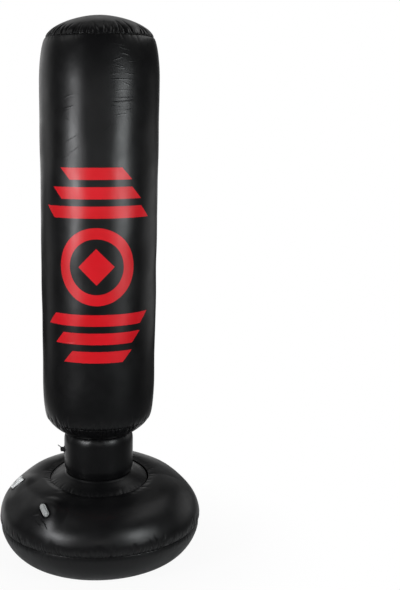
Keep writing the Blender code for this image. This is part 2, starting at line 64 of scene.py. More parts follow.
# How full the curves are: 2 is a quarter ellipse, 1 a straight line
TOP_FULLNESS = 1.70
SHOULDER_FULLNESS = 1.80
HIP_FULLNESS = 2.15
UNDER_FULLNESS = 1.30
UPPER_FULLNESS = 1.87
LOWER_FULLNESS = 1.86
SKIRT_FULLNESS = 1.12
CREASE_FULLNESS = 1.08
NECK_FULLNESS = 2.0
ROUND = 2.0

# Bulge of the base's right side, and how far out it is whole
BULGE = 0.0065
BULGE_REACH = 0.28

# Sag of the base's front, how far out it is whole, and its lowest and highest heights with blends
SAG = 0.003
SAG_REACH = 0.22
SAG_LOW = (0.121, 0.03)
SAG_HIGH = (0.232, 0.045)

# Tip of the base's top towards the front: its slope, and the radius where it ends, with a blend, in
# front of the neck and behind it, then where it starts, and how much less it is at the valves
TIP_FRONT = (0.07, 0.300, 0.140)
TIP_BACK = (0.10, 0.290, 0.060)
TIP_START = (0.085, 0.04)
TIP_LESS = 0.75

# Slope by which the column leans to the right
LEAN = 0.01414

# Camera: distance, height, focal length in pixels, its angles in radians, and its shift
CAMERA_DISTANCE = 2.79242
CAMERA_HEIGHT = 1.29031
FOCAL_PIXELS = 953.626
CAMERA_TILT = 0.17506
CAMERA_YAW = -0.05673
CAMERA_ROLL = -0.00249
CENTRE_PIXEL = 150.0
FRAME_WIDTH = 400
FRAME_LONG_SIDE = 590
SENSOR = 36.0


# Outlines: arrays of (radius, height), read clockwise from the top

ARC_STEPS = 36
LONG_STEPS = 60
FINE_STEPS = 240
EASED_STEPS = 16
TUCK_REACH = 0.007
TUCK_POWER = 1.5
SAME_POINT = 1e-7
# How much further apart the points stand for each metre from a seam
SPREAD = 1 / 14


def quarter(start, end, upright_start, fullness=ROUND, steps=ARC_STEPS):
    """A quarter round between two points, upright at one of them and level at the other."""
    turn = np.linspace(0, math.pi / 2, steps + 1)
    toward = np.sin(turn) ** (2 / fullness)
    back = np.clip(np.cos(turn), 0, 1) ** (2 / fullness)
    if upright_start:
        radius = end[0] + (start[0] - end[0]) * back
        height = start[1] + (end[1] - start[1]) * toward
    else:
        radius = start[0] + (end[0] - start[0]) * toward
        height = end[1] + (start[1] - end[1]) * back
    return np.column_stack([radius, height])


def eased(start, end):
    """A parabola from a sloping start to an upright end."""
    part = np.linspace(0, 1, EASED_STEPS + 1)
    radius = end[0] + (start[0] - end[0]) * (1 - part) ** 2
    return np.column_stack([radius, start[1] + (end[1] - start[1]) * part])


def tucked(line, seam):
    """An outline drawn in to a seam beside it."""
    line = line.copy()
    far = np.abs(line[:, 1] - seam[1])
    edge = line[np.argmin(far), 0]
    line[:, 0] -= (edge - seam[0]) * np.exp(-((far / TUCK_REACH) ** TUCK_POWER))
    return line


def spaced(runs, seams, fine, coarse):
    """Runs joined into one outline, with points spaced finely at the seams and coarsely between."""
    line = np.concatenate([np.atleast_2d(run) for run in runs])
    steps = np.linalg.norm(np.diff(line, axis=0), axis=1)
    line = line[np.concatenate([[True], steps > SAME_POINT])]
    steps = np.linalg.norm(np.diff(line, axis=0), axis=1)
    along = np.concatenate([[0.0], np.cumsum(steps)])
    places = [along[np.argmin(np.linalg.norm(line - seam, axis=1))] for seam in seams]
    stations = [0.0]
    while stations[-1] < along[-1]:
        nearest = min(abs(stations[-1] - place) for place in places)
        stations.append(stations[-1] + min(coarse, fine + nearest * SPREAD))
    stations = np.array(stations) * along[-1] / stations[-1]
    points = [np.interp(stations, along, values) for values in line.T]
    return np.column_stack(points), stations, places


# Gathers

# Spread of the folds: places as a share of their spacing, lengths by a beta curve, depths as a
# share, and slants in radians
FOLD_SCATTER = 0.38
LENGTH_SHARES = (1.4, 2.2)
DEPTH_SCATTER = 0.2
SLANT_SCATTER = 0.16
# A fold's width at the seam and how it widens, its fade, and its start beside the seam
FOLD_WIDTH = (0.55, 0.9)
FOLD_FADE = 1.1
FOLD_START = 0.0035
# Share of the folds' mean depth by which the film between them stands out
FOLD_RETURN = 0.3
WAVE_COUNT = 9
WAVE_ROUNDS = (2, 9)


def smooth(value):
    """Smooth step from 0 to 1."""
    value = np.clip(value, 0, 1)
    return value * value * (3 - 2 * value)


def pleats(seed, seam, spacing, length, depth, width):
    """Folds round a seam: their angle, length, depth, width and slant. Sizes are (least, most)."""
    random = np.random.default_rng(seed)
    count = round(2 * math.pi * float(seam[0]) / spacing)
    scatter = random.uniform(-FOLD_SCATTER, FOLD_SCATTER, count)
    angle = (np.arange(count) + scatter) * 2 * math.pi / count
    share = random.beta(*LENGTH_SHARES, count)
    long = length[0] + (length[1] - length[0]) * share
    depth_share = np.clip(share + random.normal(0, DEPTH_SCATTER, count), 0, 1)
    deep = depth[0] + (depth[1] - depth[0]) * depth_share
    wide = random.uniform(*width, count)
    slant = random.normal(0, SLANT_SCATTER, count)
    return list(zip(angle, long, deep, wide, slant))


def gathered(angle, distance, radius, folds):
    """How far a seam's folds draw the film in, over rows of distances and columns of angles."""
    total = np.zeros((len(distance), len(angle)))
    for place, long, deep, wide, slant in folds:
        rows = np.flatnonzero(distance < long)
        far = distance[rows, None]
        part = far / long
        offset = angle[None, :] - place - slant * far / radius
        offset = ((offset + math.pi) % (2 * math.pi) - math.pi) * radius
        spread = wide * (FOLD_WIDTH[0] + FOLD_WIDTH[1] * part)
        fade = (1 - part) ** FOLD_FADE * smooth(far / FOLD_START)
        total[rows] += deep * fade * np.exp(-((offset / spread) ** 2))
    return total - FOLD_RETURN * total.mean(axis=1, keepdims=True)


def waves(seed, angle, along, amount, wavelengths):
    """Gentle unevenness of blown film, from a few long waves between two wavelengths."""
    random = np.random.default_rng(seed)
    total = np.zeros((len(along), len(angle)))
    for _ in range(WAVE_COUNT):
        rounds = random.integers(*WAVE_ROUNDS)
        rise = 2 * math.pi / random.uniform(*wavelengths)
        phase = random.uniform(0, 2 * math.pi)
        total += np.sin(rounds * angle[None, :] + rise * along[:, None] + phase)
    return amount * total / math.sqrt(WAVE_COUNT)


# Mesh making


def added(name, data):
    """A new object in the scene."""
    made = bpy.data.objects.new(name, data)
    bpy.context.scene.collection.objects.link(made)
    return made


def outward(line):
    """Outward direction at each point of an outline."""
    ahead = np.gradient(line, axis=0)
    ahead /= np.maximum(np.linalg.norm(ahead, axis=1, keepdims=True), 1e-9)
    return np.column_stack([-ahead[:, 1], ahead[:, 0]])


def turns(count):
    """Angles spaced evenly round a circle."""
    return np.arange(count) * 2 * math.pi / count


def turned(name, line, shift):
    """A turned panel, pushed out along the outline's normal by a table of rows and columns."""
    rows, columns = shift.shape
    angle = turns(columns)
    away = outward(line)
    radius = line[:, :1] + away[:, :1] * shift
    height = line[:, 1:] + away[:, 1:] * shift
    points = np.stack([radius * np.cos(angle), radius * np.sin(angle), height], axis=2)
    rings = [row for row in range(rows) if line[row, 0] > SAME_POINT]
    vertices = points[rings].reshape(-1, 3).tolist()
    turn = np.arange(columns)
    faces = []
    for ring in range(len(rings) - 1):
        near = ring * columns + turn
        far = near + columns
        faces += np.column_stack([near, far, np.roll(far, -1), np.roll(near, -1)]).tolist()
    for end, start in ((0, 0), (-1, (len(rings) - 1) * columns)):
        if line[end, 0] <= SAME_POINT:
            pole = np.full(columns, len(vertices))
            vertices.append([0.0, 0.0, float(line[end, 1])])
            edge = [start + turn, np.roll(start + turn, -1)]
            faces += np.column_stack([pole, *(edge[::-1] if end else edge)]).tolist()
    mesh = bpy.data.meshes.new(name)
    mesh.from_pydata(vertices, [], faces)
    mesh.shade_smooth()
    return added(name, mesh)


def shaped(piece, *changes):
    """The piece with every vertex moved by the changes, in their order."""
    for vertex in piece.data.vertices:
        for change in changes:
            change(vertex.co)
    return piece


def leaned(place):
    """Above the pivot everything leans to the right."""
    if place.z > PIVOT_Z:
        place.x += LEAN * (place.z - PIVOT_Z)


# Fuller outline of the base on the side of its valves: crest, equator, fullness; the middle of that
# side and the angles from there where it has ended and is whole, in degrees; the radius where it
# starts, with a blend, and its blend over the equator
SIDE_CREST = (0.1750, 0.2405)
SIDE_EQUATOR = (EQUATOR[0], 0.1205)
SIDE_FULLNESS = 2.0
SIDE_OUTLINE = quarter(SIDE_CREST, SIDE_EQUATOR, False, SIDE_FULLNESS, FINE_STEPS)
SIDE_MIDDLE = -163.0
SIDE_REACH = (60.0, 16.0)
SIDE_START = (0.150, 0.085)
SIDE_RISE = 0.03


def side_part(place):
    """How far a place belongs to the side of the valves, from 0 to 1."""
    angle = math.degrees(math.atan2(place.y, place.x)) - SIDE_MIDDLE
    angle = abs((angle + 180) % 360 - 180)
    ended, whole = SIDE_REACH
    return float(smooth((ended - angle) / (ended - whole)))


def tipped(place):
    """The base's top tips towards the front, about the neck's foot."""
    radius = math.hypot(place.x, place.y)
    slope, reach, fade = TIP_FRONT if place.y < 0 else TIP_BACK
    start, blend = TIP_START
    part = smooth((radius - start) / blend) * smooth((reach - radius) / fade)
    if place.z > EQUATOR[1]:
        less = 1 - TIP_LESS * side_part(place)
        place.z += slope * place.y * float(part) * less


def sagged(place):
    """The base's film hangs a little lower at the front."""
    z = place.z
    part = smooth(-place.y / SAG_REACH)
    part = part * smooth((z - SAG_LOW[0]) / SAG_LOW[1]) * smooth((SAG_HIGH[0] - z) / SAG_HIGH[1])
    place.z -= SAG * float(part)


def bulged(place):
    """The base bulges to its right, and its left side stays at the valves."""
    place.x += BULGE * float(smooth(place.x / BULGE_REACH))


# Places of the three valves: a point on the film, and the valve's own axes, Z outward
VALVE_PLACES = {
    "front_valve": (
        (-0.15660, -0.20781, 0.21262), (-0.36016, 0.83144, 0.42307),
        (-0.83622, -0.08669, -0.5415), (-0.41355, -0.5488, 0.72649),
    ),
    "rear_valve": (
        (-0.24865, -0.01303, 0.22210), (-0.78784, -0.14596, -0.59834),
        (0.13543, -0.98879, 0.06289), (-0.60081, -0.03149, 0.79877),
    ),
    "neck_valve": ((-0.1045, 0, 0.3215), (0, -1, 0), (0, 0, 1), (-1, 0, 0)),
}

# Outline beside the base's two valves, how far inside it the film lies, and the distances from a
# valve where it has ended and is whole
SEAT_CREST = (0.1935, 0.2435)
SEAT_EQUATOR = (EQUATOR[0], 0.1230)
SEAT_FULLNESS = 1.8
SEAT_OUTLINE = quarter(SEAT_CREST, SEAT_EQUATOR, False, SEAT_FULLNESS, FINE_STEPS)
SEAT_DROP = 0.0028
SEAT_OUTLINE -= SEAT_DROP * outward(SEAT_OUTLINE)
SEAT_REACH = (0.070, 0.026)


def drawn(place, outline, part):
    """Moves a place towards the nearest point of an outline."""
    radius = math.hypot(place.x, place.y)
    far = np.hypot(outline[:, 0] - radius, outline[:, 1] - place.z)
    wanted = outline[np.argmin(far)]
    scale = 1 + part * (wanted[0] / radius - 1)
    rise = part * (wanted[1] - place.z)
    place[:] = (place.x * scale, place.y * scale, place.z + rise)


def filled(place):
    """The base's film is a little fuller on the side of its valves."""
    start, blend = SIDE_START
    radius = math.hypot(place.x, place.y)
    side = side_part(place)
    rise = place.z - EQUATOR[1]
    if rise > 0 and side > 0 and radius > CREASE[0]:
        part = smooth((radius - start) / blend) * smooth(rise / SIDE_RISE)
        drawn(place, SIDE_OUTLINE, side * float(part))


def seated(place):
    """The base's film rises to the foot of its two valves."""
    ended, whole = SEAT_REACH
    for name in ("front_valve", "rear_valve"):
        near = (place - Vector(VALVE_PLACES[name][0])).length
        if near < ended:
            drawn(place, SEAT_OUTLINE, float(smooth((ended - near) / (ended - whole))))


# Materials


class Nodes:
    """A tree of nodes, with short calls for the kinds used here."""

    def __init__(self, tree):
        self.tree = tree

    def node(self, kind, **settings):
        made = self.tree.nodes.new(kind)
        for key, value in settings.items():
            setattr(made, key, value)
        return made

    def feed(self, socket, value):
        if isinstance(value, bpy.types.NodeSocket):
            self.tree.links.new(value, socket)
        else:
            socket.default_value = (*value, 1.0) if isinstance(value, tuple) else value

    def fed(self, kind, *values, **settings):
        """The first output of a node whose inputs hold values, in their order."""
        made = self.node(kind, **settings)
        for socket, value in zip(made.inputs, values):
            self.feed(socket, value)
        return made.outputs[0]

    def named(self, made, output, **values):
        """An output of a node whose inputs hold values, by their names."""
        for key, value in values.items():
            self.feed(made.inputs[key], value)
        return made.outputs[output]

    def split(self, place):
        made = self.node("ShaderNodeSeparateXYZ")
        self.feed(made.inputs[0], place)
        return made.outputs

    def math(self, operation, *values, clamp=False):
        return self.fed("ShaderNodeMath", *values, operation=operation, use_clamp=clamp)

    def mapped(self, value, low, high, to_low=0.0, to_high=1.0, kind="SMOOTHSTEP"):
        values = (value, low, high, to_low, to_high)
        return self.fed("ShaderNodeMapRange", *values, interpolation_type=kind)


class Graph(Nodes):
    """A material's nodes."""

    def __init__(self, name):
        self.material = bpy.data.materials.new(name)
        self.material.use_nodes = True
        super().__init__(self.material.node_tree)
        self.shader = self.tree.nodes["Principled BSDF"]
        self.place = self.node("ShaderNodeTexCoord").outputs["Object"]

    def noise(self, scale, detail=2.0):
        made = self.node("ShaderNodeTexNoise")
        return self.named(made, "Fac", Vector=self.place, Scale=scale, Detail=detail)

    def mix(self, factor, first, second):
        made = self.node("ShaderNodeMix", data_type="RGBA")
        return self.named(made, "Result", Factor=factor, A=first, B=second)

    def tone(self, scale, detail, *ramp):
        return self.mapped(self.noise(scale, detail), *ramp)

    def relief(self, scale, distance, strength, under=None):
        return self.bump(self.noise(scale), distance, strength, under)

    def bump(self, height, distance, strength, under=None):
        made = self.node("ShaderNodeBump")
        if under is not None:
            self.feed(made.inputs["Normal"], under)
        return self.named(made, "Normal", Height=height, Distance=distance, Strength=strength)

    def shaded(self, colour, roughness, normal):
        """The material with these on its surface."""
        self.feed(self.shader.inputs["Base Color"], colour)
        self.feed(self.shader.inputs["Roughness"], roughness)
        self.feed(self.shader.inputs["Normal"], normal)
        return self.material


# Print on the column's front: height of its middle, softness of its edges, a ring's radius and half
# width, a lozenge's half diagonal, and slanted bars: place, half height and half width
PRINT_MIDDLE = 0.905
PRINT_EDGE = 0.0008
RING = (0.094, 0.016)
LOZENGE = 0.052
BARS = ((0.152, 0.017, 0.150), (0.205, 0.017, 0.120), (0.258, 0.017, 0.090))
BAR_SLANT = 0.9


def inside(graph, value, centre, half):
    """1 where value is within half of centre."""
    far = graph.math("ABSOLUTE", graph.math("SUBTRACT", value, centre))
    return graph.math("DIVIDE", graph.math("SUBTRACT", half, far), PRINT_EDGE, clamp=True)


def target_print(graph, arc, height):
    """A ring and a lozenge between slanted bars, as a mask."""
    rise = graph.math("SUBTRACT", height, PRINT_MIDDLE)
    square = graph.math("ADD", graph.math("POWER", arc, 2.0), graph.math("POWER", rise, 2.0))
    distance = graph.math("SQRT", square)
    ring = inside(graph, distance, *RING)
    steps = graph.math("ADD", graph.math("ABSOLUTE", arc), graph.math("ABSOLUTE", rise))
    mask = graph.math("MAXIMUM", ring, inside(graph, steps, 0.0, LOZENGE))
    for side in (1, -1):
        for offset, half_height, half_width in BARS:
            bar = inside(graph, height, PRINT_MIDDLE + side * offset, half_height)
            skew = graph.math("MULTIPLY_ADD", rise, BAR_SLANT * side, arc)
            middle = graph.math("SUBTRACT", skew, BAR_SLANT * offset)
            width = inside(graph, middle, 0.0, half_width)
            mask = graph.math("MAXIMUM", mask, graph.math("MULTIPLY", bar, width))
    return mask


# Film: its cloudy tones, the tone of its flecks, the tones of its ink and the roughness that ink
# adds, and its specular level in the open and on the small welds
FILM_TONES = ((0.0028, 0.0028, 0.0031), (0.0044, 0.0044, 0.0048))
FLECK_TONE = (0.010, 0.010, 0.0105)
INK_TONES = ((0.62, 0.004, 0.009), (0.71, 0.006, 0.015))
INK_ROUGHNESS = 0.03
FILM_SPECULAR = 0.30
WELD_SPECULAR = 0.08

# Radius at which creases and print are laid out, on the column and on the base
COLUMN_ARC = 0.17
BASE_ARC = 0.25

# Noise of the film's tones and roughness: scale, detail, the part of it that is used, its result
CLOUD_NOISE = (7.0, 3.0, 0.3, 0.7)
FLECK_NOISE = (160.0, 2.0, 0.62, 0.8, 0.0, 0.35)
GLOSS_NOISE = (22.0, 3.0, 0.25, 0.75, 0.31, 0.39)

# Relief: scale of its noise, height in metres and strength; creases have no noise
SOFT_RELIEF = (16.0, 0.0012, 0.5)
CREASE_RELIEF = (0.0012, 0.9)
GRAIN_RELIEF = (1100.0, 0.00005, 0.35)
MOULDING_RELIEF = (2400.0, 0.00004, 0.4)


def film(name, creases=(), radius=COLUMN_ARC, specular=FILM_SPECULAR, printed=False):
    """Black satin film: faint cloudy tone, fine grain, soft unevenness and short creases."""
    graph = Graph(name)
    cloud = graph.tone(*CLOUD_NOISE)
    colour = graph.mix(graph.tone(*FLECK_NOISE), graph.mix(cloud, *FILM_TONES), FLECK_TONE)
    x, y, height = graph.split(graph.place)
    turn = graph.math("ARCTAN2", x, graph.math("MULTIPLY", y, -1.0))
    arc = graph.math("MULTIPLY", turn, radius)
    gloss = graph.tone(*GLOSS_NOISE)
    if printed:
        mask = target_print(graph, arc, height)
        colour = graph.mix(mask, colour, graph.mix(cloud, *INK_TONES))
        gloss = graph.math("MULTIPLY_ADD", mask, INK_ROUGHNESS, gloss)
    graph.shader.inputs["Specular IOR Level"].default_value = specular
    soft = graph.relief(*SOFT_RELIEF)
    folded = graph.bump(creased(graph, arc, height, creases), *CREASE_RELIEF, soft)
    return graph.shaded(colour, gloss, graph.relief(*GRAIN_RELIEF, folded))


# Creases in the film: arc, height, half length, slope, bend and depth; then their width, and the
# share of their length over which they are whole
COLUMN_CREASES = (
    (0.078, 1.416, 0.040, 0.00, -0.8, 0.29),
    (0.074, 1.445, 0.017, -0.05, 14.0, 0.27),
    (0.117, 1.466, 0.030, 0.18, 2.0, 0.25),
    (0.086, 1.483, 0.015, -0.15, -8.0, 0.23),
    (0.068, 1.508, 0.026, -0.15, 1.0, 0.21),
    (0.077, 1.357, 0.038, 0.10, 0.8, 0.45),
    (0.082, 1.367, 0.030, 0.05, 1.5, 0.32),
    (0.087, 1.404, 0.013, -0.40, 0.0, 0.23),
    (0.066, 1.452, 0.024, -0.25, 2.0, 0.17),
    (0.084, 1.497, 0.028, -0.30, 2.0, 0.19),
    (0.065, 1.470, 0.020, 0.35, 0.0, 0.17),
    (0.100, 1.430, 0.020, -0.10, 5.0, 0.17),
    (0.092, 1.335, 0.016, 0.20, 0.0, 0.21),
    (0.072, 1.386, 0.026, 0.06, -2.0, 0.15),
    (0.060, 1.343, 0.018, -0.12, 3.0, 0.20),
    (0.070, 1.322, 0.022, 0.15, 0.0, 0.17),
    (0.074, 1.520, 0.022, 0.10, -4.0, 0.15),
    (0.055, 1.430, 0.016, 0.05, 0.0, 0.13),
    (0.030, 1.281, 0.015, 0.80, 0.0, 0.17),
    (-0.076, 1.341, 0.020, 0.25, 2.0, 0.36),
    (-0.083, 1.333, 0.012, 0.10, 0.0, 0.24),
    (-0.118, 1.338, 0.015, -0.10, 0.0, 0.18),
    (-0.080, 1.312, 0.012, -0.50, 0.0, 0.18),
    (-0.072, 1.372, 0.022, 0.30, -3.0, 0.19),
    (-0.066, 1.258, 0.024, 0.55, 0.0, 0.19),
    (-0.058, 1.228, 0.020, 0.70, 0.0, 0.17),
    (-0.086, 1.206, 0.016, 0.45, 4.0, 0.15),
    (-0.084, 0.685, 0.024, 0.05, 3.0, 0.36),
)
BASE_CREASES = (
    (-0.156, 0.188, 0.018, -0.60, 4.0, 0.90),
    (-0.146, 0.181, 0.014, -0.85, 0.0, 0.70),
    (-0.165, 0.180, 0.015, -0.30, -5.0, 0.60),
    (-0.182, 0.196, 0.012, 0.40, 0.0, 0.50),
)
CREASE_WIDTH = 0.0024
CREASE_WHOLE = 0.35


def creased(graph, arc, height, strokes):
    """Short creases as a height: narrow ridges along slightly bent lines, fading at their ends."""
    total = 0.0
    for at, level, half, slope, bend, depth in strokes:
        along = graph.math("SUBTRACT", arc, at)
        rise = graph.math("MULTIPLY_ADD", along, slope, level)
        if bend:
            rise = graph.math("MULTIPLY_ADD", graph.math("MULTIPLY", along, along), bend, rise)
        off = graph.math("ABSOLUTE", graph.math("SUBTRACT", height, rise))
        line = graph.mapped(off, 0.0, CREASE_WIDTH, depth, 0.0)
        ends = graph.mapped(graph.math("ABSOLUTE", along), half * CREASE_WHOLE, half, 1.0, 0.0)
        total = graph.math("MULTIPLY_ADD", line, ends, total)
    return total


def plain(name, light, dark, roughness, scale=120.0):
    """Soft plastic of one colour, with a faint mottle of a scale, and moulding grain."""
    graph = Graph(name)
    colour = graph.mix(graph.tone(scale, 3.0, 0.3, 0.7), dark, light)
    gloss = graph.tone(scale * 2, 2.0, 0.3, 0.7, roughness - 0.04, roughness + 0.05)
    return graph.shaded(colour, gloss, graph.relief(*MOULDING_RELIEF))


def dress(piece, material):
    """The piece wearing one material."""
    piece.data.materials.clear()
    piece.data.materials.append(material)
    return piece


# Film panels

# Folds beside each seam: seed, seam, spacing, then least and most length, depth and width
FOLDS = {
    "wall_top": (11, TOP_SEAM, 0.012, (0.008, 0.034), (0.0004, 0.0015), (0.002, 0.004)),
    "wall_foot": (12, BOTTOM_SEAM, 0.0095, (0.014, 0.045), (0.0014, 0.0046), (0.0016, 0.0032)),
    "top_major": (21, TOP_SEAM, 0.020, (0.034, 0.070), (0.0030, 0.0070), (0.0024, 0.0042)),
    "top_minor": (22, TOP_SEAM, 0.0092, (0.016, 0.046), (0.0014, 0.0042), (0.0015, 0.0028)),
    "under": (31, BOTTOM_SEAM, 0.0095, (0.015, 0.050), (0.0014, 0.0042), (0.0018, 0.0034)),
    "neck_top": (41, NECK_TOP, 0.013, (0.010, 0.024), (0.0001, 0.0004), (0.003, 0.005)),
    "neck_wide": (43, NECK_TOP, 0.040, (0.026, 0.040), (0.0006, 0.0020), (0.006, 0.010)),
    "neck_foot": (42, NECK_FOOT, 0.011, (0.010, 0.030), (0.0004, 0.0014), (0.002, 0.0035)),
    "collar_in": (51, NECK_FOOT, 0.012, (0.008, 0.022), (0.0003, 0.0010), (0.002, 0.0035)),
    "collar_out": (52, CREASE, 0.016, (0.012, 0.034), (0.0005, 0.0020), (0.003, 0.006)),
    "rim_major": (61, RIM, 0.026, (0.024, 0.056), (0.0020, 0.0048), (0.0026, 0.0048)),
    "rim_minor": (62, RIM, 0.0092, (0.020, 0.054), (0.0016, 0.0052), (0.0015, 0.0029)),
    "crease": (63, CREASE, 0.018, (0.012, 0.040), (0.0005, 0.0020), (0.003, 0.007)),
    "rim_below": (64, RIM, 0.010, (0.010, 0.032), (0.0004, 0.0016), (0.002, 0.0036)),
}

# Points of each panel: columns round it, and distance along it beside a seam and far from it
MESH_STEPS = {
    "column_skin": (480, 0.0013, 0.010),
    "column_top": (480, 0.0013, 0.006),
    "column_under": (480, 0.0013, 0.004),
    "neck_upper": (320, 0.0012, 0.004),
    "neck_lower": (320, 0.0012, 0.004),
    "collar_skin": (420, 0.0012, 0.0035),
    "base_upper_skin": (840, 0.0013, 0.006),
    "base_lower_skin": (840, 0.0013, 0.007),
}

# Unevenness between two seams: seed, amount, least and most wavelength, start and blend
COLUMN_UNEVENNESS = (5, 0.0007, (0.12, 0.5), SEAM_LIP, 0.15)
BASE_UNEVENNESS = (7, 0.0009, (0.15, 0.5), 0.0, 0.09)

# Depth of the groove between the collar's bead and its skirt
GROOVE_DEPTH = 0.0008


def panel(name, runs, seams, unevenness=None):
    """A turned panel of film. Each seam is a point of its outline and the names of its folds."""
    columns, fine, coarse = MESH_STEPS[name]
    line, along, places = spaced(runs, [point for point, _ in seams], fine, coarse)

    angle = turns(columns)
    shift = np.zeros((len(along), columns))
    for place, (_, kinds) in zip(places, seams):
        folds = [fold for kind in kinds for fold in pleats(*FOLDS[kind])]
        if folds:
            radius = float(FOLDS[kinds[0]][1][0])
            shift -= gathered(angle, np.abs(along - place), radius, folds)
    if unevenness:
        seed, amount, wavelengths, start, blend = unevenness
        middle = smooth((along - start) / blend) * smooth((places[1] - along) / blend)
        shift += middle[:, None] * waves(seed, angle, along, amount, wavelengths)
    return turned(name, line, shift)


def add_column(wall_film, end_film):
    """Column wall, its domed top and its dished underside."""
    upper, lower = TOP_SEAM - GAP, BOTTOM_SEAM + GAP
    runs = [
        upper - (SEAM_LIP, 0),
        quarter(COLUMN_TOP, upper, True, SHOULDER_FULLNESS)[::-1],
        quarter(COLUMN_BOTTOM, lower, True, HIP_FULLNESS),
        lower - (SEAM_LIP, 0),
    ]
    seams = ((upper, ["wall_top"]), (lower, ["wall_foot"]))
    wall = shaped(panel("column_skin", runs, seams, COLUMN_UNEVENNESS), leaned)
    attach(wall, "column")
    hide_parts("column_wall")

    seam = TOP_SEAM + GAP
    runs = [quarter(TOP, seam, False, TOP_FULLNESS), seam - (SEAM_LIP, 0)]
    top = shaped(panel("column_top", runs, [(seam, ["top_major", "top_minor"])]), leaned)
    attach(top, "column")
    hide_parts("column_top_cap")

    seam, hole = BOTTOM_SEAM - GAP, NECK_TOP + SIDE_GAP
    dish = quarter(seam, hole, True, UNDER_FULLNESS)
    runs = [seam - (SEAM_LIP, 0), dish, hole + (0, SEAM_LIP)]
    under = shaped(panel("column_under", runs, [(seam, ["under"]), (hole, [])]), leaned)
    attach(under, "column")
    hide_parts("column_bottom_cap")
    for piece in (top, under):
        dress(piece, end_film)
    dress(wall, wall_film)


def add_neck(look):
    """Neck in two halves that meet at its middle, leaned above the pivot; the upper half."""
    low, high = ((NECK_RADIUS, level) for level in NECK_BARREL_Z)
    middle = (NECK_RADIUS, PIVOT_Z)
    shoulder = quarter(high, NECK_TOP, True, NECK_FULLNESS)[::-1]
    upper_runs = [NECK_TOP + (0, SEAM_LIP), shoulder, middle]
    lower_runs = [middle, eased(NECK_FOOT, low)[::-1], NECK_FOOT - (0, SEAM_LIP)]
    halves = []
    for name, runs, seam in (
        ("neck_upper", upper_runs, (NECK_TOP, ["neck_top", "neck_wide"])),
        ("neck_lower", lower_runs, (NECK_FOOT, ["neck_foot"])),
    ):
        half = shaped(panel(name, runs, [seam]), leaned)
        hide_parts("neck_wall")
        halves.append(dress(half, look))
    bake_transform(halves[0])
    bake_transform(halves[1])
    return halves[0]


def add_base(look):
    """Collar, upper panel and lower panel of the base; the upper panel."""
    foot = COLLAR_FOOT + SIDE_GAP
    crease = CREASE - SIDE_GAP - (0, CREASE_STEP)
    runs = [
        foot - (0, SEAM_LIP),
        quarter(foot, BEAD, True),
        quarter(SKIRT - (0, GROOVE_DEPTH), BEAD, True)[::-1],
        quarter(crease, SKIRT, True, SKIRT_FULLNESS)[::-1],
        crease - (0, SEAM_LIP),
    ]
    collar = panel("collar_skin", runs, ((foot, ["collar_in"]), (crease, ["collar_out"])))
    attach(collar, "base")
    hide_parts("base_collar")

    crease, rim = CREASE + SIDE_GAP, RIM + GAP
    belly = quarter(EQUATOR, FOOT, True, LOWER_FULLNESS, LONG_STEPS)
    runs = [
        crease - (0, SEAM_LIP),
        quarter(crease, CREST, True, CREASE_FULLNESS),
        quarter(CREST, EQUATOR, False, UPPER_FULLNESS, LONG_STEPS),
        tucked(belly[belly[:, 1] > rim[1]], rim),
        rim,
        rim - (SEAM_LIP, 0),
    ]
    seams = ((crease, ["crease"]), (rim, ["rim_major", "rim_minor"]))
    upper = panel("base_upper_skin", runs, seams, BASE_UNEVENNESS)
    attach(upper, "base")
    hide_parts("base_upper_panel")

    rim = RIM - GAP
    runs = [rim - (SEAM_LIP, 0), rim, tucked(belly[belly[:, 1] < rim[1]], rim), (0.0, 0.0)]
    lower = panel("base_lower_skin", runs, [(rim, ["rim_below"])])
    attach(lower, "base")
    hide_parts("base_lower_panel")
    shaped(collar, tipped)
    shaped(upper, bulged, sagged, filled, tipped, seated)
    shaped(lower, bulged)
    for piece in (collar, upper, lower):
        dress(piece, look)
    return upper


# Plug valves


# Gap between a valve's parts that move past each other
PLAY = 0.0003


class Sizes:
    """A valve's sizes in its own frame, in metres and radians."""

    def __init__(self, **sizes):
        vars(self).update(sizes)
        self.stem_x = -(self.length - self.width) / 2
        self.low = self.top + PLAY


# Pad and the patch's margin round it, bored stem, lid and strap, pull tab
BASE_VALVE = Sizes(
    length=0.044, width=0.017, high=0.0030, margin=0.006,
    bore=0.0045, stem=0.0065, top=0.0045, tail=0.009,
    lid=0.0078, hinge=0.0204, strap=0.0078,
    tab_length=0.004, tab_width=0.006, tab_tilt=0.0, tab_turn=0.0,
)
NECK_VALVE = Sizes(
    length=0.028, width=0.014, high=0.0020, margin=0.005,
    bore=0.0035, stem=0.0052, top=0.0090, tail=0.008,
    lid=0.0062, hinge=0.0124, strap=0.0062,
    tab_length=0.012, tab_width=0.006, tab_tilt=math.radians(50), tab_turn=math.radians(-90),
)

# Pad: depth of its foot under the film, its rolled rim, and its groove as insets and depths
PAD_FOOT = 0.0045
PAD_EDGE = 0.0009
PAD_STEPS = 5
PAD_GROOVE = ((0.0013, 0.0001), (0.0016, 0.0003), (0.0020, 0.0004))

# Stem: the round of its rim, and where that round's middle lies; the strap's post
STEM_EDGE = 0.0004
STEM_CORNER = 0.3 * STEM_EDGE
POST_INSET = 0.0032
POST_FOOT = 0.0006

# Lid and strap, the strap's thinning past the lid as a share, and its start and blend
LID_THICKNESS = 0.0025
LID_EDGE = 0.0004
STRAP_THICKNESS = 0.0012
STRAP_INSET = 0.0006
STRAP_EDGE = 0.0004
STRAP_THINNING = 0.3
STRAP_THIN = (0.001, 0.004)
SPIGOT_PLAY = 0.0005
# Ribs round the lid, their depth as a share of its radius, and their share on each ring
GRIPS = 18
GRIP_DEPTH = 0.035
GRIP_SHARES = [0.0] * 8 + [0.7, 1.0, 0.6] + [0.0] * 8

# Radius of the small flat in the middle of a turned piece
MIDDLE = 0.0002

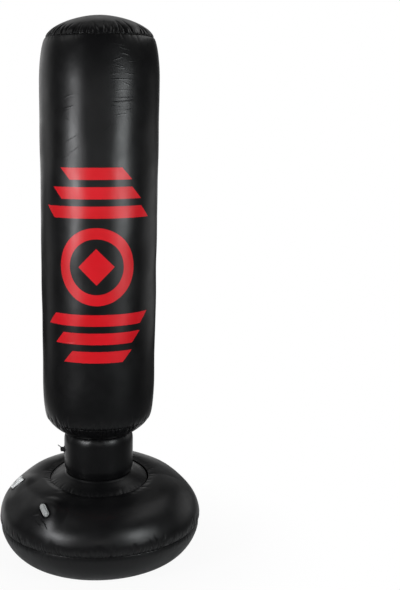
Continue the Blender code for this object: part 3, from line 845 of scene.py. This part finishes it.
# Sections of the lid: beside the spigot's radius and the underside, beside the lid's radius and top,
# and as a share of the lid's radius and under its top
SPIGOT_SECTION = (
    (-0.0011, 0.0), (-0.0011, -0.0027), (-0.0009, -0.0030),
    (-0.0005, -0.0030), (-0.0003, -0.0027), (0.0, 0.0),
)
LID_SECTION = (
    (0.0, -0.0008), (-0.0002, -0.0004), (-0.0007, 0.0),
    (-0.0016, 0.0), (-0.0021, -0.0005), (-0.0030, -0.0007),
)
HUB_SECTION = ((0.32, -0.0006), (0.26, -0.0002), (0.16, 0.0))

# Pull tab: its start inside the lid's edge and over the underside, its rounds, its taper, and its
# dent's depth, place and half length as shares
TAB_ROOT = (0.0012, 0.0006)
TAB_EDGE = 0.0003
TAB_TAPER = 0.7
TAB_DENT = (0.2, 0.6, 0.25)

# Check flap: its thickness, and its boss and rim over its underside
FLAP_THICKNESS = 0.0008
BOSS_SECTION = ((MIDDLE, 0.0), (0.0010, 0.0), (0.0014, 0.0002))
FLAP_SECTION = ((-0.0012, 0.0002), (-0.0008, 0.0), (-0.0001, 0.0001), (0.0, 0.0003))


# Points round a moulding, the ribbed lid, a patch and the strap's disc, along the strap, and round
# the tab's end, and steps of a rounded rim
MOULDED_SIDES = 56
LID_SIDES = 108
PATCH_SIDES = 96
DISC_SIDES = 44
STRAP_SIDES = 12
TAB_SIDES = 13
RIM_STEPS = 4
# Least angle of an edge that shows sharp
SHARP_ANGLE = math.radians(38)


def stadium(length, width, sides=MOULDED_SIDES):
    """A bar outline with round ends, anticlockwise."""
    half = width / 2
    turn = (np.arange(sides) + 0.5) * 2 * math.pi / sides
    across = half * np.cos(turn) + np.sign(np.cos(turn)) * (length / 2 - half)
    return np.column_stack([across, half * np.sin(turn)])


def keyhole(centre, radius, end, width):
    """A disc with a strap running from it to an end, anticlockwise."""
    start = math.asin(width / 2 / radius)
    turn = np.linspace(start, 2 * math.pi - start, DISC_SIDES)
    disc = np.column_stack([centre + radius * np.cos(turn), radius * np.sin(turn)])
    near = centre + radius * math.cos(start)
    reach = np.linspace(near, end, STRAP_SIDES)[1:]
    lower = [(x, -width / 2) for x in reach]
    upper = [(x, width / 2) for x in reach[::-1]]
    return np.concatenate([disc, lower, upper])


def inset(plan, amount):
    """An anticlockwise outline moved inward."""
    ahead = np.roll(plan, -1, axis=0) - plan
    ahead /= np.linalg.norm(ahead, axis=1, keepdims=True)
    inward = np.column_stack([-ahead[:, 1], ahead[:, 0]])
    both = inward + np.roll(inward, 1, axis=0)
    both /= np.linalg.norm(both, axis=1, keepdims=True)
    share = np.maximum((both * inward).sum(axis=1, keepdims=True), 0.5)
    return plan + both * amount / share


class Moulding:
    """A moulded piece built ring by ring in its own frame."""

    def __init__(self):
        self.work = bmesh.new()

    def ring(self, plan, height):
        return [self.work.verts.new((x, y, height)) for x, y in plan.tolist()]

    def rim(self, plan, level, edge, steps, foot=False):
        """Rings of a rounded rim upward: they end at its level, or start there at a foot."""
        rings = []
        for step in range(steps, -1, -1) if foot else range(steps + 1):
            turn = step / steps * math.pi / 2
            rise = edge * (1 - math.sin(turn))
            height = level + rise if foot else level - rise
            rings.append(self.ring(inset(plan, edge * (1 - math.cos(turn))), height))
        return rings

    def walls(self, rings):
        for low, high in zip(rings, rings[1:]):
            for i in range(len(low)):
                j = (i + 1) % len(low)
                self.work.faces.new((low[i], low[j], high[j], high[i]))

    def cover(self, *rings):
        edges = []
        for ring in rings:
            for i, corner in enumerate(ring):
                ends = (corner, ring[(i + 1) % len(ring)])
                edges.append(self.work.edges.get(ends) or self.work.edges.new(ends))
        bmesh.ops.triangle_fill(self.work, use_beauty=True, edges=edges)

    def close(self, rings):
        self.walls(rings)
        self.cover(rings[0])
        self.cover(rings[-1])

    def slab(self, plan, low, high, edge):
        """A closed slab with rounded rims; its vertices."""
        first = len(self.work.verts)
        foot = self.rim(plan, low, edge, RIM_STEPS, foot=True)
        self.close(foot + self.rim(plan, high, edge, RIM_STEPS))
        self.work.verts.ensure_lookup_table()
        return self.work.verts[first:]

    def turned(self, profile, centre, sides, grips=()):
        """Rings round an upright axis; grips are each ring's share of the ribs' depth."""
        turn = turns(sides)
        circle = np.column_stack([np.cos(turn), np.sin(turn)])
        rib = 0.5 - 0.5 * np.cos(GRIPS * turn)
        rings = []
        for (radius, height), share in zip(profile, grips or [0.0] * len(profile)):
            plan = radius * circle * (1 - GRIP_DEPTH * share * rib)[:, None]
            rings.append(self.ring(plan + (centre, 0.0), height))
        return rings

    def made(self, name, place):
        bmesh.ops.recalc_face_normals(self.work, faces=self.work.faces)
        mesh = bpy.data.meshes.new(name)
        self.work.to_mesh(mesh)
        self.work.free()
        mesh.transform(place)
        mesh.shade_smooth()
        mesh.set_sharp_from_angle(angle=SHARP_ANGLE)
        return added(name, mesh)


def valve_place(name):
    """The matrix from a valve's own frame to the bag's."""
    origin, x_axis, y_axis, z_axis = (Vector(part) for part in VALVE_PLACES[name])
    turn = Matrix((x_axis, y_axis, z_axis)).transposed().to_4x4()
    return Matrix.Translation(origin) @ turn


def valve_body(name, size):
    """Oval pad with a rolled rim, its bored stem, and the post of the strap."""
    work = Moulding()
    plan = stadium(size.length, size.width)
    rings = [work.ring(plan, -PAD_FOOT)]
    rings += work.rim(plan, size.high, PAD_EDGE, PAD_STEPS)
    rings += [work.ring(inset(plan, drop), size.high - sink) for drop, sink in PAD_GROOVE]
    work.walls(rings)
    stem, bore, top = size.stem, size.bore, size.top
    profile = [
        (stem, -size.tail), (stem, -PAD_FOOT),
        (stem + STEM_EDGE, size.high - STEM_EDGE), (stem, size.high),
        (stem, top - STEM_EDGE), (stem - STEM_CORNER, top - STEM_CORNER), (stem - STEM_EDGE, top),
        (bore + STEM_EDGE, top), (bore + STEM_CORNER, top - STEM_CORNER), (bore, top - STEM_EDGE),
        (bore, -size.tail), (stem, -size.tail),
    ]
    tube = work.turned(profile, size.stem_x, MOULDED_SIDES)
    work.walls(tube)
    work.cover(rings[-1], tube[2])
    work.cover(rings[0], tube[1])
    half = size.strap / 2 - PLAY
    inner, outer = size.hinge - POST_INSET, size.hinge - PLAY
    corners = np.array([(inner, -half), (outer, -half), (outer, half), (inner, half)])
    work.slab(corners, size.high - POST_FOOT, top, STRAP_EDGE)
    return work.made(name + "_moulding", valve_place(name))


def valve_cap(name, size):
    """Ribbed lid with a hollow spigot, its strap, and a pull tab."""
    work = Moulding()
    low = size.low
    strap = keyhole(size.stem_x, size.lid - STRAP_INSET, size.hinge, size.strap)
    start, blend = STRAP_THIN
    for corner in work.slab(strap, low, low + STRAP_THICKNESS, STRAP_EDGE):
        thin = float(smooth((corner.co.x - size.stem_x - size.lid - start) / blend))
        corner.co.z = low + (corner.co.z - low) * (1 - STRAP_THINNING * thin)
    high = low + LID_THICKNESS
    spigot = size.bore - SPIGOT_PLAY
    profile = [(MIDDLE, low + 0.0002)]
    profile += [(spigot + out, low + up) for out, up in SPIGOT_SECTION]
    profile += [(size.lid - LID_EDGE, low), (size.lid, low + LID_EDGE)]
    profile += [(size.lid + out, high + up) for out, up in LID_SECTION]
    profile += [(size.lid * share, high + up) for share, up in HUB_SECTION]
    profile.append((MIDDLE, high + 0.0001))
    work.close(work.turned(profile, size.stem_x, LID_SIDES, GRIP_SHARES))
    near, far = size.tab_width / 2, size.tab_width / 2 * TAB_TAPER
    length = size.tab_length
    turn = np.linspace(math.pi / 2, 3 * math.pi / 2, TAB_SIDES)
    end = np.column_stack([-(length - far) + far * np.cos(turn), far * np.sin(turn)])
    plan = np.concatenate([[(0.0, -near), (0.0, near)], end])
    stem = Matrix.Translation((size.stem_x, 0, 0))
    root = Matrix.Translation((TAB_ROOT[0] - size.lid, 0, low + TAB_ROOT[1]))
    tilt = Matrix.Rotation(size.tab_tilt, 4, "Y")
    place = stem @ Matrix.Rotation(size.tab_turn, 4, "Z") @ root @ tilt
    thickness = LID_THICKNESS - STRAP_THICKNESS
    depth, middle, reach = TAB_DENT
    for corner in work.slab(plan, 0.0, thickness, TAB_EDGE):
        dent = depth * float(smooth(1 - abs(-corner.co.x / length - middle) / reach))
        corner.co.z = thickness / 2 + (corner.co.z - thickness / 2) * (1 - dent)
        corner.co = place @ corner.co
    return work.made(name + "_plug", valve_place(name))


def valve_flap(name, size):
    """Soft check flap with a thickened rim and a small boss."""
    work = Moulding()
    radius = size.stem - PLAY
    high = -size.tail - PLAY
    low = high - FLAP_THICKNESS
    profile = [(out, low + up) for out, up in BOSS_SECTION]
    profile += [(radius + out, low + up) for out, up in FLAP_SECTION]
    profile += [(radius, high - 0.0001), (radius - 0.0002, high), (MIDDLE, high)]
    work.close(work.turned(profile, size.stem_x, MOULDED_SIDES))
    return work.made(name + "_check_flap", valve_place(name))


# Patch: its section from the edge inward, as shares of its margin and heights over the film, and the
# height from which it drops onto the film
PATCH_SECTION = (
    (0.0, -0.0002), (0.0, 0.0004), (0.04, 0.0007), (0.10, 0.0008), (0.40, 0.0008), (0.46, 0.0005),
    (0.54, 0.00045), (0.60, 0.0008), (0.90, 0.00085), (1.10, 0.0010), (1.25, 0.0010),
)
PATCH_DROP = 0.03


def valve_patch(name, size, skin):
    """Welded patch that lies on the film round the pad, with the weld's groove in it."""
    place = valve_place(name)
    back = place.inverted()
    tree = BVHTree.FromPolygons(
        [back @ vertex.co for vertex in skin.data.vertices],
        [face.vertices[:] for face in skin.data.polygons],
    )
    work = Moulding()
    length, width = size.length + 2 * size.margin, size.width + 2 * size.margin
    rings = []
    for share, lift in PATCH_SECTION:
        less = 2 * share * size.margin
        ring = work.ring(stadium(length - less, width - less, PATCH_SIDES), 0.0)
        for corner in ring:
            above = Vector((corner.co.x, corner.co.y, PATCH_DROP))
            hit = tree.ray_cast(above, Vector((0, 0, -1)))[0]
            corner.co.z = hit.z + lift
        rings.append(ring)
    work.walls(rings)
    return work.made(name + "_weld", place)


def add_valve(name, size, body, skin, film_look, look):
    """A valve on its film."""
    patch = dress(valve_patch(name, size, skin), film_look)
    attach(patch, body)
    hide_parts(name + "_patch")
    for piece, rider, node in (
        (valve_body(name, size), body, name + "_body"),
        (valve_cap(name, size), name + "_plug", name + "_cap"),
        (valve_flap(name, size), name + "_check", name + "_flap"),
    ):
        dress(piece, look)
        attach(piece, rider)
        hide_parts(node)


# Studio


def add_camera():
    """Camera at the photograph's viewing angle."""
    right = Vector((math.cos(CAMERA_YAW), math.sin(CAMERA_YAW), 0))
    ahead = Vector((-math.sin(CAMERA_YAW), math.cos(CAMERA_YAW), 0))
    forward = ahead * math.cos(CAMERA_TILT) - Vector((0, 0, math.sin(CAMERA_TILT)))
    up = ahead * math.sin(CAMERA_TILT) + Vector((0, 0, math.cos(CAMERA_TILT)))
    across = right * math.cos(CAMERA_ROLL) + up * math.sin(CAMERA_ROLL)
    upright = up * math.cos(CAMERA_ROLL) - right * math.sin(CAMERA_ROLL)
    data = bpy.data.cameras.new("camera")
    data.sensor_width = SENSOR
    data.lens = FOCAL_PIXELS / FRAME_LONG_SIDE * SENSOR
    data.shift_x = (FRAME_WIDTH / 2 - CENTRE_PIXEL) / FRAME_LONG_SIDE
    made = added("camera", data)
    turn = Matrix((across, upright, -forward)).transposed().to_4x4()
    made.matrix_world = Matrix.Translation((0, -CAMERA_DISTANCE, CAMERA_HEIGHT)) @ turn
    bpy.context.scene.camera = made


WHITE = (1, 1, 1)

# Floor: its radius and colour, its white share to the camera, and its tone to everything else, a
# painted pool of light that is lighter near the bag and darker further off; each from one distance
# to another and from one value to another
FLOOR_RADIUS = 9.0
FLOOR_COLOUR = (0.82, 0.82, 0.82)
FLOOR_WHITE = (0.20, 0.75, 0.93, 1.0)
FLOOR_PAINTED_LIGHT_TONE = (0.37, 0.95, 0.80, 0.13)

# Floor behind the bag that is white in gloss: its start, half width, shift to the left, and blends
# to the front and the sides
SWEEP_FRONT = 0.45
SWEEP_HALF_WIDTH = 1.1
SWEEP_SHIFT = 0.2
SWEEP_BLENDS = (0.4, 0.7)


def add_floor():
    """A white floor that keeps the bag's soft shadow."""
    mesh = bpy.data.meshes.new("floor")
    work = bmesh.new()
    bmesh.ops.create_circle(work, cap_ends=True, segments=96, radius=FLOOR_RADIUS)
    work.to_mesh(mesh)
    work.free()
    floor = added("floor", mesh)
    material = bpy.data.materials.new("white_floor")
    material.use_nodes = True
    material.node_tree.nodes.clear()
    nodes = Nodes(material.node_tree)
    place = nodes.node("ShaderNodeTexCoord").outputs["Object"]
    length = nodes.node("ShaderNodeVectorMath", operation="LENGTH")
    far = nodes.named(length, "Value", Vector=place)
    matt = nodes.fed("ShaderNodeBsdfDiffuse", FLOOR_COLOUR)
    white = nodes.fed("ShaderNodeEmission", WHITE, 1.0)
    seen = nodes.fed("ShaderNodeMixShader", nodes.mapped(far, *FLOOR_WHITE), matt, white)
    # To everything but the camera the floor's colour is painted light: lighter near the bag, darker
    # further off
    unseen = nodes.fed("ShaderNodeBsdfDiffuse", nodes.mapped(far, *FLOOR_PAINTED_LIGHT_TONE))
    x, y, _ = nodes.split(place)
    front = nodes.mapped(y, SWEEP_FRONT - SWEEP_BLENDS[0], SWEEP_FRONT, kind="LINEAR")
    side = nodes.math("ABSOLUTE", nodes.math("ADD", x, SWEEP_SHIFT))
    inner = SWEEP_HALF_WIDTH - SWEEP_BLENDS[1]
    sweep = nodes.math("MULTIPLY", front, nodes.mapped(side, SWEEP_HALF_WIDTH, inner, kind="LINEAR"))
    path = nodes.node("ShaderNodeLightPath").outputs
    shown = path["Is Camera Ray"]
    for ray in ("Is Glossy Ray", "Is Transmission Ray"):
        shown = nodes.math("MULTIPLY_ADD", path[ray], sweep, shown, clamp=True)
    out = nodes.node("ShaderNodeOutputMaterial")
    nodes.feed(out.inputs["Surface"], nodes.fed("ShaderNodeMixShader", shown, unseen, seen))
    mesh.materials.append(material)


# Studio: strength of its walls, and a glow behind the bag: shift to the left, then sides, depth and
# heights as directions, each from and to, and its strength
ROOM = 0.038
GLOW_SHIFT = 0.12
GLOW_SIDES = (0.2, 0.65)
GLOW_BEHIND = (0.4, 0.8)
GLOW_HEIGHTS = (0.02, 0.5)
GLOW_STRENGTH = 0.3


def add_world():
    """White behind the bag for the camera, and a studio with a dark front for everything else."""
    world = bpy.data.worlds.new("studio")
    bpy.context.scene.world = world
    world.use_nodes = True
    nodes = Nodes(world.node_tree)
    x, y, z = nodes.split(nodes.node("ShaderNodeTexCoord").outputs["Generated"])
    aside = nodes.math("ABSOLUTE", nodes.math("ADD", x, GLOW_SHIFT))
    wide = nodes.mapped(aside, *GLOW_SIDES, 1.0, 0.0)
    behind = nodes.math("MULTIPLY", nodes.mapped(y, *GLOW_BEHIND), wide)
    glow = nodes.math("MULTIPLY", behind, nodes.mapped(z, *GLOW_HEIGHTS, 1.0, 0.0))
    studio = nodes.math("MULTIPLY_ADD", glow, GLOW_STRENGTH, ROOM)
    path = nodes.node("ShaderNodeLightPath").outputs
    mirrored = nodes.math("ADD", path["Is Glossy Ray"], path["Is Transmission Ray"])
    seen = nodes.math("MULTIPLY_ADD", mirrored, glow, path["Is Camera Ray"], clamp=True)
    dim = nodes.math("MULTIPLY", studio, nodes.math("SUBTRACT", 1.0, seen))
    background = nodes.tree.nodes["Background"]
    nodes.named(background, 0, Color=WHITE, Strength=nodes.math("ADD", dim, seen))


LEFT_TINT = (0.97, 0.98, 1.0)
RIGHT_TINT = (0.95, 0.99, 1.0)

# Softboxes: name, azimuth from the front, distance, height, (width, height), watts, colour
SOFTBOXES = (
    ("left_mid", -47.0, 2.2, 1.00, (0.66, 0.40), 21.0, LEFT_TINT),
    ("left_high", -47.0, 2.2, 1.38, (0.66, 0.36), 7.5, LEFT_TINT),
    ("left_low", -47.0, 2.2, 0.60, (0.66, 0.40), 1.9, LEFT_TINT),
    ("right_mid", 42.8, 2.2, 1.00, (0.80, 0.40), 16.0, RIGHT_TINT),
    ("right_high", 42.8, 2.2, 1.38, (0.80, 0.36), 7.5, RIGHT_TINT),
    ("right_low", 42.8, 2.2, 0.60, (0.80, 0.40), 2.0, RIGHT_TINT),
    ("left_top", -75.0, 1.4, 2.70, (1.20, 0.90), 3.5, WHITE),
    ("right_top", 75.0, 1.4, 2.70, (1.20, 0.90), 2.4, WHITE),
    ("back_top", -174.0, 2.0, 2.95, (2.40, 0.90), 4.0, WHITE),
    ("centre_top", 180.0, 0.35, 3.00, (0.90, 0.70), 0.9, WHITE),
    ("left_back", -130.0, 2.1, 1.90, (1.50, 1.30), 4.2, WHITE),
    ("right_back", 116.0, 2.1, 0.70, (1.90, 0.90), 2.6, WHITE),
    ("right_back_top", 116.0, 1.9, 2.90, (1.90, 1.00), 8.0, WHITE),
    ("left_rim", -112.0, 2.2, 0.90, (0.80, 1.60), 2.2, WHITE),
    ("right_rim", 116.0, 2.2, 0.80, (0.80, 1.40), 0.9, WHITE),
    ("front_mid", 0.0, 2.9, 1.10, (2.00, 0.70), 5.0, WHITE),
)
# High softboxes aim at this height, and the others straight across
TOP_AIM = 0.9


def add_softboxes():
    """Softboxes at azimuths from the front, positive to the right."""
    for name, azimuth, distance, height, size, power, colour in SOFTBOXES:
        data = bpy.data.lights.new(name, "AREA")
        data.shape = "RECTANGLE"
        data.size, data.size_y = size
        data.energy = power
        data.color = colour
        made = added(name, data)
        turn = math.radians(azimuth)
        made.location = (distance * math.sin(turn), -distance * math.cos(turn), height)
        aim = TOP_AIM if name.endswith("top") else height
        to_bag = Vector((0, 0, aim)) - made.location
        made.rotation_mode = "QUATERNION"
        made.rotation_quaternion = to_bag.to_track_quat("-Z", "Y")
        made.visible_camera = False


bpy.context.scene.view_settings.view_transform = "Standard"
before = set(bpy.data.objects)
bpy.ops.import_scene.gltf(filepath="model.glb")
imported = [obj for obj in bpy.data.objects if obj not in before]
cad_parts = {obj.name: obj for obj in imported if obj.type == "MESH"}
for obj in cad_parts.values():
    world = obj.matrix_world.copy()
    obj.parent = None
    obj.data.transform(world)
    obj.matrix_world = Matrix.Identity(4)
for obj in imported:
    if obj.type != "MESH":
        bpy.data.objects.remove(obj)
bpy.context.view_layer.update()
add_camera()
add_world()
add_floor()
add_softboxes()
column_film = film("printed_film", COLUMN_CREASES, printed=True)
black_film = film("black_film")
base_film = film("base_film", BASE_CREASES, BASE_ARC)
weld_film = film("weld_film", specular=WELD_SPECULAR)
add_column(column_film, black_film)
neck_skin = add_neck(black_film)
base_skin = add_base(base_film)
# The valves' white plastic comes in a shaded and a lit copy. The darker one is painted shade, for
# the front valve that faces away from the lamps. The brighter one is painted light, for the
# backlight the rear valve catches.
white = plain("painted_shade_white_plastic", (0.44, 0.45, 0.44), (0.36, 0.37, 0.37), 0.42)
painted_light_white = plain("painted_light_white_plastic", (0.95, 0.96, 0.95), (0.91, 0.92, 0.92), 0.42)
black = plain("black_plastic", (0.016, 0.016, 0.017), (0.010, 0.010, 0.011), 0.45)
# The front valve wears the copy darkened as painted shade, and the rear valve the copy brightened as
# painted light.
add_valve("front_valve", BASE_VALVE, "base", base_skin, weld_film, white)
add_valve("rear_valve", BASE_VALVE, "base", base_skin, weld_film, painted_light_white)
add_valve("neck_valve", NECK_VALVE, "neck", neck_skin, weld_film, black)
grey_film = plain("grey_film", (0.09, 0.09, 0.095), (0.07, 0.07, 0.075), 0.5, 30.0)
clear_water = plain("clear_water", (0.5, 0.66, 0.72), (0.42, 0.6, 0.68), 0.12, 8.0)
dress(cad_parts["neck_bulkhead"], grey_film)
dress(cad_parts["base_tie_wall"], grey_film)
dress(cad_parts["ballast_water"], clear_water)
